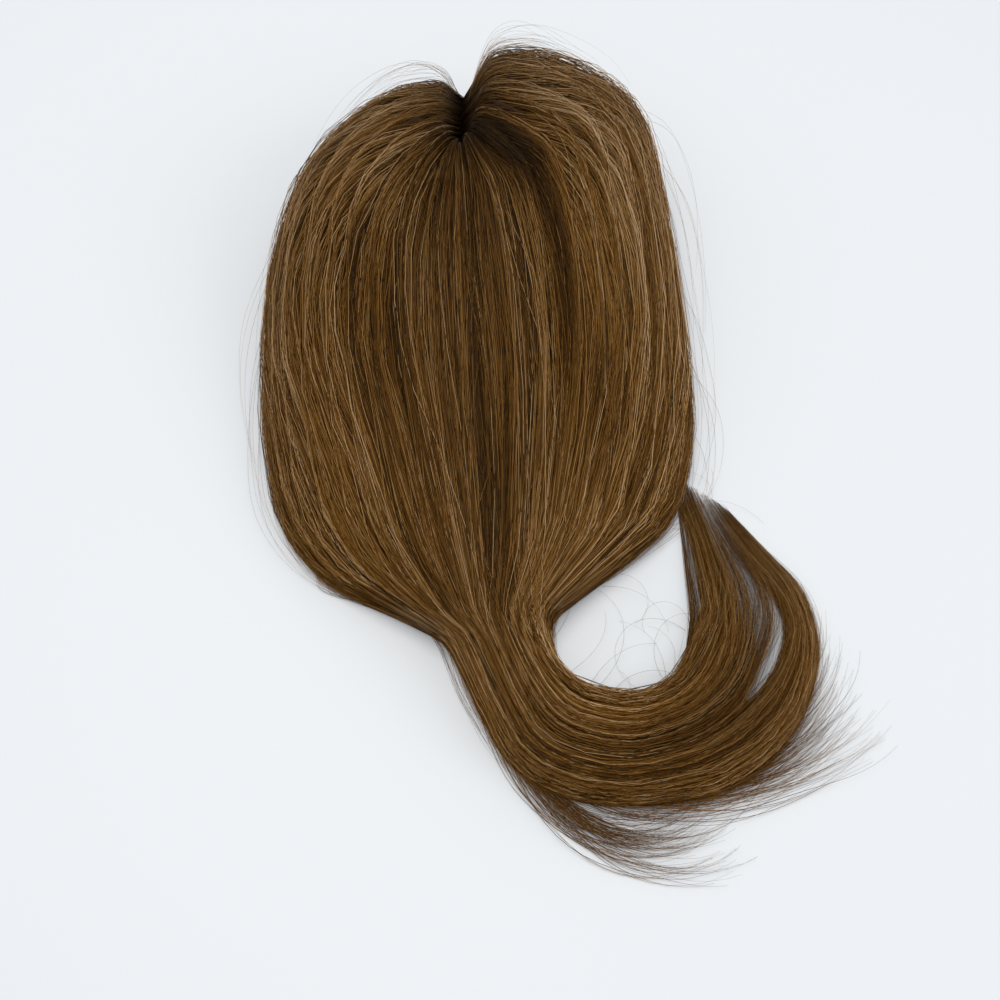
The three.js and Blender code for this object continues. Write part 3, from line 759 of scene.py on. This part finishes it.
def waves(rng, count, along, turns, size):
    """Slow sideways wander, different on each of a number of strands or clumps."""
    phase = rng.uniform(0, 2 * np.pi, (2, count, 1))
    pitch = turns * rng.uniform(0.7, 1.3, (2, count, 1))
    wave = np.sin(2 * np.pi * pitch[0] * along + phase[0])
    wave = wave + 0.5 * np.sin(2 * np.pi * 2.1 * pitch[1] * along + phase[1])
    return size * wave


def spaced_steps(rng, points, steps):
    """Places of so many steps on each strand of many points, closest where it bends most."""
    count, fine = points.shape[:2]
    run = np.diff(points, axis=1)
    length = np.linalg.norm(run, axis=2) + 1e-9
    facing = run / length[..., None]
    turn = np.arccos(np.clip((facing[:, 1:] * facing[:, :-1]).sum(2), -1, 1))
    cost = length / BEND_LENGTH
    cost[:, 1:] += turn / 2
    cost[:, :-1] += turn / 2
    reach = np.concatenate([np.zeros((count, 1)), np.cumsum(cost, 1)], 1)
    share = np.linspace(0, 1, steps) + np.zeros((count, 1))
    share[:, 1:-1] += rng.uniform(-0.4, 0.4, (count, 1)) / (steps - 1)
    number = np.arange(fine)
    return np.stack([np.interp(share[i] * reach[i, -1], reach[i], number) for i in range(count)])


def at_steps(values, place):
    """Values of each strand at places between its points."""
    i = np.minimum(place.astype(int), values.shape[1] - 2)
    t = place - i
    row = np.arange(len(values))[:, None]
    if values.ndim == 3:
        t = t[..., None]
    return values[row, i] * (1 - t) + values[row, i + 1] * t


def gathered(home, along):
    """Hairs of the middle fan straight out of the crown, and draw in again at the waist."""
    off = home - 0.5
    middle = 1 - np.minimum(np.abs(off) / 0.5, 1) ** 3
    waist = smooth_step(*WAIST_COMES, along) * (1 - smooth_step(*WAIST_GOES, along))
    draw = ROOT_DRAW * (1 - smooth_step(*CROWN_OPENS, along)) + WAIST_DRAW * waist
    return 0.5 + off * (1 - draw * middle)


def slit_shift(along, arch, home):
    """Draws the hair apart where the curl splits in two, and swings it out with its tips."""
    open_at = smooth_step(*SLIT_COMES, along) - SLIT_CLOSE * smooth_step(*SLIT_GOES, along)
    side = np.where(home < SLIT_ARCH, -1, 1)
    near = np.exp(-(((arch - SLIT_ARCH) / SLIT_REACH) ** 2)) * side
    swing = SLIT_SWING * smooth_step(*SWING_COMES, along) * (1 - smooth_step(*SWING_GOES, along))
    swing = swing * np.exp(-(((arch - SWING_ARCH) / SWING_REACH) ** 2))
    return np.clip(arch + SLIT_WIDTH * open_at * near - swing, *ARCH_LIMITS)


clump_rng = np.random.default_rng(11)
CLUMP_ARCH = (np.arange(CLUMPS) + clump_rng.uniform(0.1, 0.9, CLUMPS)) / CLUMPS
CLUMP_TONE = clump_rng.normal(0, CLUMP_SHADE, CLUMPS)
CLUMP_LIFT = clump_rng.uniform(-1, 1, CLUMPS)
CLUMP_ALONG = np.linspace(0, 1.1, 60)
CLUMP_PATHS = waves(clump_rng, CLUMPS, CLUMP_ALONG[None], 1.3, CLUMP_WANDER)


# Painted light and shade on the hair: painted shade round the whorl, in the grooves between
# locks, under the hair that arches over them and down the left side, painted highlights on
# the lobes and the right side, lighter strands that stand in for the lit table seen through
# thin hair, and a little darker in the tail. Each patch: middle along and over the arch, half
# the reach of each, and how much
PAINTED_SHADE_AND_HIGHLIGHT_PATCHES = [
    (0.14, 0.20, 0.10, 0.12, 0.21),
    (0.15, 0.37, 0.05, 0.04, 0.20),
    (0.18, 0.29, 0.04, 0.02, 0.14),
    (0.08, 0.72, 0.06, 0.06, 0.27),
    (0.18, 0.71, 0.10, 0.05, 0.30),
    (0.10, 0.92, 0.14, 0.12, 0.34),
    (0.26, 0.82, 0.10, 0.10, 0.10),
    (0.04, 0.57, 0.045, 0.17, -0.35),
    (0.075, 0.550, 0.035, 0.036, -1.40),
    (0.120, 0.575, 0.040, 0.026, -1.20),
    (0.19, 0.590, 0.050, 0.014, -0.35),
    (0.15, 0.470, 0.050, 0.014, -0.30),
    (0.18, 0.505, 0.060, 0.014, -0.30),
    (0.24, 0.602, 0.060, 0.010, -0.38),
    (0.30, 0.597, 0.050, 0.012, -0.32),
    (0.355, 0.640, 0.040, 0.010, -0.45),
    (0.18, 0.21, 0.05, 0.022, -0.16),
    (0.235, 0.345, 0.050, 0.020, -0.24),
    (0.285, 0.405, 0.060, 0.020, -0.32),
    (0.40, 0.508, 0.050, 0.009, -0.34),
    (0.46, 0.511, 0.050, 0.010, -0.40),
    (0.52, 0.530, 0.035, 0.012, -0.42),
    (0.57, 0.575, 0.030, 0.016, -0.45),
    (0.61, 0.665, 0.030, 0.022, -0.45),
    (0.65, 0.745, 0.030, 0.024, -0.40),
    (0.69, 0.810, 0.030, 0.022, -0.32),
    (0.72, 0.47, 0.07, 0.020, -0.22),
    (0.80, 0.50, 0.06, 0.022, -0.10),
    (0.40, 0.348, 0.035, 0.012, 0.30),
    (0.435, 0.648, 0.028, 0.012, 0.38),
    (0.78, 0.50, 0.13, 0.45, -0.12),
]


# Painted shade and highlights on the hair, summed from the patches above
def painted_shade_and_highlights(along, arch):
    tone = np.zeros_like(arch)
    for middle, over, reach, width, amount in PAINTED_SHADE_AND_HIGHLIGHT_PATCHES:
        tone += amount * np.exp(-(((along - middle) / reach) ** 2) - ((arch - over) / width) ** 2)
    return tone


def combed_arch(rng, section, home, clump, along):
    """The strands' ways over the arch, which of them cross others, and which are laid over."""
    low, high, locks = SECTIONS[section]
    count = len(home)
    paths = [np.interp(along[i], CLUMP_ALONG, CLUMP_PATHS[k]) for i, k in enumerate(clump)]
    pull = ROOT_PULL + (TIP_PULL - ROOT_PULL) * smooth_step(*PULL_COMES, along)
    arch = home[:, None] + (CLUMP_ARCH[clump] - home)[:, None] * pull + np.stack(paths)
    arch = arch + waves(rng, count, along, 1.5, STRAND_WANDER)
    crossing = rng.random(count) < CROSSING
    drift = rng.normal(0, CROSSING_DRIFT, count) * crossing
    arch = gathered(arch, along) + drift[:, None] * smooth_step(*DRIFT_COMES, along)
    lock = (np.floor((home - low) / (high - low) * locks) + 0.5) / locks * (high - low) + low
    arch = arch + (lock[:, None] - arch) * LOCK_GATHER * smooth_step(*LOCK_COMES, along)
    over = (home - OVER_FROM) / (OVER_TO - OVER_FROM)
    lifted = (over > 0) & (over < 1) & (rng.random(count) < OVER_SHARE)
    laid_over = lifted[:, None] * smooth_step(*OVER_COMES, along)
    shift = OVER_SHIFT * (OVER_LEAST + (1 - OVER_LEAST) * over[:, None])
    shift = shift * (1 - OVER_BACK * smooth_step(*OVER_GOES, along))
    arch = arch + shift * laid_over
    arch = slit_shift(along, np.clip(arch, *ARCH_LIMITS), home[:, None])
    drawn = smooth_step(*TIP_COMES, along) * (1 - smooth_step(*TIP_GOES, along))
    drawn = drawn * (rng.random((count, 1)) > TIP_LOOSE)
    arch = arch - TIP_DRAW * drawn * smooth_step(*TIP_INNER, arch)
    arch = arch + TIP_TUCK * drawn * (1 - smooth_step(*TIP_OUTER, arch))
    return arch, crossing[:, None], laid_over


def strand_tones(rng, clump, along, arch, under, crossing, laid_over):
    """How light each strand is along its length, in its clump and in its part of the hair, with
    painted shade on lower strands and painted shade and highlights by place.
    """
    count = len(clump)
    tone = 0.5 + CLUMP_TONE[clump] + rng.normal(0, TONE_SPREAD, count)
    # Strands that lie lower in the hair are darker: painted shade
    tone = tone[:, None] + TONE_WAVE * waves(rng, count, along, 2, 1.0) - LOWER_STRANDS_PAINTED_SHADE * under
    tone = tone + CROSSING_SHADE * crossing
    # Painted shade and highlights by place, stronger on some strands than on others
    tone = tone + painted_shade_and_highlights(along, arch) * rng.uniform(0.2, 1.6, (count, 1))
    tone = tone + OVER_SHADE * laid_over * (1 - smooth_step(*OVER_FADES, along))
    return np.clip(tone, *TONE_LIMITS)


def comb_section(rng, name, section, count, steps):
    """Strands of one section of hair, combed from the parting round the curl."""
    low, high, _ = SECTIONS[section]
    home = low + (high - low) * (np.arange(count) + rng.random(count)) / count
    clump = np.abs(home[:, None] - CLUMP_ARCH[None]).argmin(1)
    reach = SHORTEST + (LONGEST - SHORTEST) * rng.random(count) ** MOSTLY_LONG
    share = np.linspace(0, 1, FINE_STEPS)[None]
    along = reach[:, None] * share
    arch, crossing, laid_over = combed_arch(rng, section, home, clump, along)
    under = rng.uniform(0, 1, count)[:, None]
    past_crown = smooth_step(*CROWN_ENDS, along)
    layer_depth = LAYER_DEPTH * (CROWN_LAYER + (1 - CROWN_LAYER) * past_crown)
    depth = 1 - layer_depth * under + CROSSING_RISE * crossing
    clump_lift = CLUMP_RISE * CLUMP_LIFT[clump][:, None]
    depth = depth + waves(rng, count, along, 2.5, STRAND_WAVE) + clump_lift
    depth = depth * (1 + LOCK_RELIEF * lock_swell(arch))
    depth = depth + OVER_RISE * laid_over - CROWN_SETTLE * (1 - past_crown)
    points = hair_place(along, arch, depth)
    outward = hair_place(along, arch, depth + FACE_STEP) - points
    overlap = PARTING_OVERLAP * (1 - smooth_step(*PARTING_ENDS, along))
    overlap = overlap * rng.uniform(0.3, 1.3, (count, 1))
    points[..., 0] += np.where(home < 0.5, 1, -1)[:, None] * overlap
    points[..., 2] *= 1 - TIP_SINK * under * smooth_step(*SINK_COMES, along)
    taper = 1 - STRAND_TAPER * smooth_step(0.75, 1, share)
    radius = STRAND_RADIUS * rng.uniform(0.7, 1.3, (count, 1)) * taper
    tone = strand_tones(rng, clump, along, arch, under, crossing, laid_over)
    place = spaced_steps(rng, points, steps)
    parts = [at_steps(values, place) for values in (points, outward, radius, along, tone)]
    strand_mesh(name, *parts, [section])


rng = np.random.default_rng(5)
for section, batches in BATCHES.items():
    for batch in range(batches):
        comb_section(rng, f"{section}_strands_{batch + 1}", section, STRANDS, STRAND_STEPS)


# Loose locks
# Wispy ends of the same hair, cut to uneven lengths: they fall out of the curl on its outer
# side, gather in tufts and fan over the table.

# Each lock: where it leaves, over what range, its length, its turn in degrees, how late it
# turns, its strands and the tufts that they gather in
LOOSE_LOCKS = [
    (0.802, 0.008, 0.056, 50, 1.3, 30, 6),
    (0.780, 0.008, 0.072, 58, 1.3, 40, 5),
    (0.760, 0.007, 0.082, 56, 1.3, 44, 5),
    (0.740, 0.006, 0.089, 52, 1.0, 44, 5),
    (0.724, 0.006, 0.091, 60, 1.2, 32, 4),
    (0.850, 0.015, 0.036, 30, 1.0, 22, 9),
    (0.598, 0.002, 0.094, 86, 1.9, 22, 3),
    (0.612, 0.005, 0.092, 92, 1.8, 28, 8),
    (0.632, 0.008, 0.085, 100, 1.6, 28, 12),
    (0.660, 0.010, 0.076, 98, 1.4, 26, 12),
    (0.690, 0.012, 0.064, 66, 1.2, 24, 10),
]
LOOSE_RADIUS, LOOSE_TAPER = 0.00009, 0.7
LOOSE_HELD, LOOSE_ARCH = 0.05, 0.10
LOOSE_DEPTH = (0.3, 0.97)
LOOSE_REST = (0.0003, 0.0035)
LOOSE_WAVE = math.radians(5)
START_SCATTER = 0.002
TUFT_LENGTHS, STRAND_LENGTHS = 0.06, 0.08
TUFT_TURNS, STRAND_TURNS = 0.07, 4
HELD_STEPS, FREE_STEPS = 5, 21


def heading_path(start, heading, length, angles):
    """Places in plan along paths that set out from a start and turn by given angles."""
    steps = angles.shape[1]
    going = heading + angles
    ahead = np.stack([np.cos(going), np.sin(going)], -1) * (length / steps)[..., None]
    return start + np.cumsum(ahead, 1)


def scatter(rng, size, count):
    """Even scatter to either side, so that no strand strays far from the rest."""
    return size * rng.uniform(-1.7, 1.7, count)


def loose_lock(rng, leaves, spread, length, turn, late, count, tufts):
    tuft = rng.integers(0, tufts, count)
    begin = leaves + scatter(rng, spread, tufts)[tuft] + scatter(rng, START_SCATTER, count)
    begin = begin[:, None]
    home = rng.uniform(0.0, LOOSE_ARCH, (count, 1))
    depth = rng.uniform(*LOOSE_DEPTH, (count, 1))
    held = hair_place(begin - LOOSE_HELD * np.linspace(1, 0, HELD_STEPS)[None], home, depth)
    facing = held[:, -1] - held[:, -2]
    heading = np.arctan2(facing[:, 1], facing[:, 0])[:, None]
    reach = 1 + scatter(rng, TUFT_LENGTHS, tufts)[tuft] + scatter(rng, STRAND_LENGTHS, count)
    reach = length * reach[:, None]
    total = turn * (1 + scatter(rng, TUFT_TURNS, tufts)[tuft])
    total = np.radians(total + scatter(rng, STRAND_TURNS, count))
    share = np.linspace(0, 1, FREE_STEPS)[None]
    angles = total[:, None] * share**late + LOOSE_WAVE * waves(rng, count, share, 1.1, 1.0)
    free = heading_path(held[:, -1:, :2], heading, reach, angles)
    rest = rng.uniform(*LOOSE_REST, (count, 1))
    height = held[:, -1:, 2] + (rest - held[:, -1:, 2]) * smooth_step(0, 0.7, share)
    points = np.concatenate([held, np.concatenate([free, height[..., None]], 2)], 1)
    outward = np.zeros_like(points) + [0, 0, 1]
    share = np.linspace(0, 1, HELD_STEPS + FREE_STEPS)[None]
    taper = 1 - LOOSE_TAPER * smooth_step(0.6, 1, share)
    radius = LOOSE_RADIUS * rng.uniform(0.7, 1.2, (count, 1)) * taper
    tone = np.clip(0.5 + rng.normal(0, 0.13, (count, 1)) + 0 * share, *TONE_LIMITS)
    return points, outward, radius, 0.5 + 0.45 * share + 0 * tone, tone


groups = [loose_lock(rng, *row) for row in LOOSE_LOCKS]
joined = [np.concatenate([group[k] for group in groups]) for k in range(5)]
strand_mesh("loose_locks", *joined, ["hair_left"])


# Flyaways
# Single hairs that stand off the rest: arcs over the crown, hairs along the flanks and the
# tips, and a few short curls that have sprung into the loop.

# Each lot: its section, the range where its hairs start along the hair and over the arch,
# their length along it, how far they drift over the arch, how far they lift, and their count
FLYAWAYS = [
    ("hair_right", 0.0, 0.025, 0.70, 0.97, 0.13, 0.03, 0.11, 36),
    ("hair_left", 0.0, 0.03, 0.03, 0.26, 0.14, 0.03, 0.08, 26),
    ("hair_right", 0.12, 0.45, 0.94, 1.00, 0.22, 0.01, 0.20, 36),
    ("hair_left", 0.12, 0.50, 0.00, 0.06, 0.22, 0.01, 0.13, 40),
    ("hair_left", 0.46, 0.58, 0.00, 0.05, 0.16, 0.02, 0.40, 40),
    ("hair_back", 0.05, 0.50, 0.30, 0.70, 0.30, 0.09, 0.05, 60),
    ("hair_left", 0.72, 0.90, 0.02, 0.25, 0.10, 0.03, 0.07, 40),
    ("hair_left", 0.84, 0.98, 0.00, 0.14, 0.07, 0.03, 0.16, 50),
    ("hair_back", 0.70, 0.88, 0.30, 0.70, 0.12, 0.05, 0.25, 30),
    ("hair_right", 0.45, 0.60, 0.95, 1.00, 0.06, 0.02, 0.16, 40),
]
FLYAWAY_RADIUS = 0.000055
FLYAWAY_WAVE = 0.005
FLYAWAY_STEPS = 20
CURLS, CURL_STEPS = 20, 26
CURL_LENGTH = (0.025, 0.06)
CURL_TURN = (50, 230)
CURL_LOW, CURL_RISE = 0.0004, 0.003


def flyaways(rng, start, start_end, low, high, length, drift, lift, count):
    share = np.linspace(0, 1, FLYAWAY_STEPS)[None]
    begin = rng.uniform(start, start_end, (count, 1))
    along = begin + length * rng.uniform(0.5, 1.2, (count, 1)) * share
    home = rng.uniform(low, high, (count, 1))
    arch = np.clip(home + rng.normal(0, drift, (count, 1)) * share**1.5, 0.0, 1.0)
    rise = lift * rng.random((count, 1)) ** 1.5 * np.sin(0.8 * np.pi * share)
    depth = 1.0 + rise + waves(rng, count, share, 1, FLYAWAY_WAVE)
    points = hair_place(along, arch, depth)
    outward = hair_place(along, arch, depth + FACE_STEP) - points
    radius = FLYAWAY_RADIUS * (1 - 0.6 * share) + np.zeros((count, 1))
    tone = np.clip(0.55 + rng.normal(0, 0.15, (count, 1)) + 0 * share, *TONE_LIMITS)
    return points, outward, radius, np.maximum(along, 0.2), tone


def loop_curls(rng, count):
    """Short hairs curled up on the table inside the loop, from its inner edge."""
    begin = rng.uniform(0.42, 0.92, (count, 1))
    start = hair_place(begin, np.full((count, 1), 0.995))
    facing = hair_place(begin, np.full((count, 1), 0.9)) - start
    away = np.arctan2(-facing[:, 0, 1], -facing[:, 0, 0])[:, None] + rng.normal(0, 0.9, (count, 1))
    share = np.linspace(0, 1, CURL_STEPS)[None]
    total = np.radians(rng.uniform(*CURL_TURN, (count, 1))) * rng.choice([-1, 1], (count, 1))
    angles = total * (0.7 * share + 0.3 * share**2)
    path = heading_path(start[..., :2], away, rng.uniform(*CURL_LENGTH, (count, 1)), angles)
    height = CURL_LOW + CURL_RISE * np.sin(np.pi * share) + 0 * total
    points = np.concatenate([path, height[..., None]], 2)
    radius = FLYAWAY_RADIUS * (1 - 0.5 * share) + 0 * total
    tone = np.clip(0.6 + rng.normal(0, 0.1, (count, 1)) + 0 * share, *TONE_LIMITS)
    return points, np.zeros_like(points) + [0, 0, 1], radius, 0.5 + 0 * tone, tone


for section in SECTIONS:
    lots = [flyaways(rng, *row[1:]) for row in FLYAWAYS if row[0] == section]
    joined = [np.concatenate([lot[k] for lot in lots]) for k in range(5)]
    strand_mesh(section + "_flyaways", *joined, [section])
strand_mesh("loop_curls", *loop_curls(rng, CURLS), ["hair_right"])
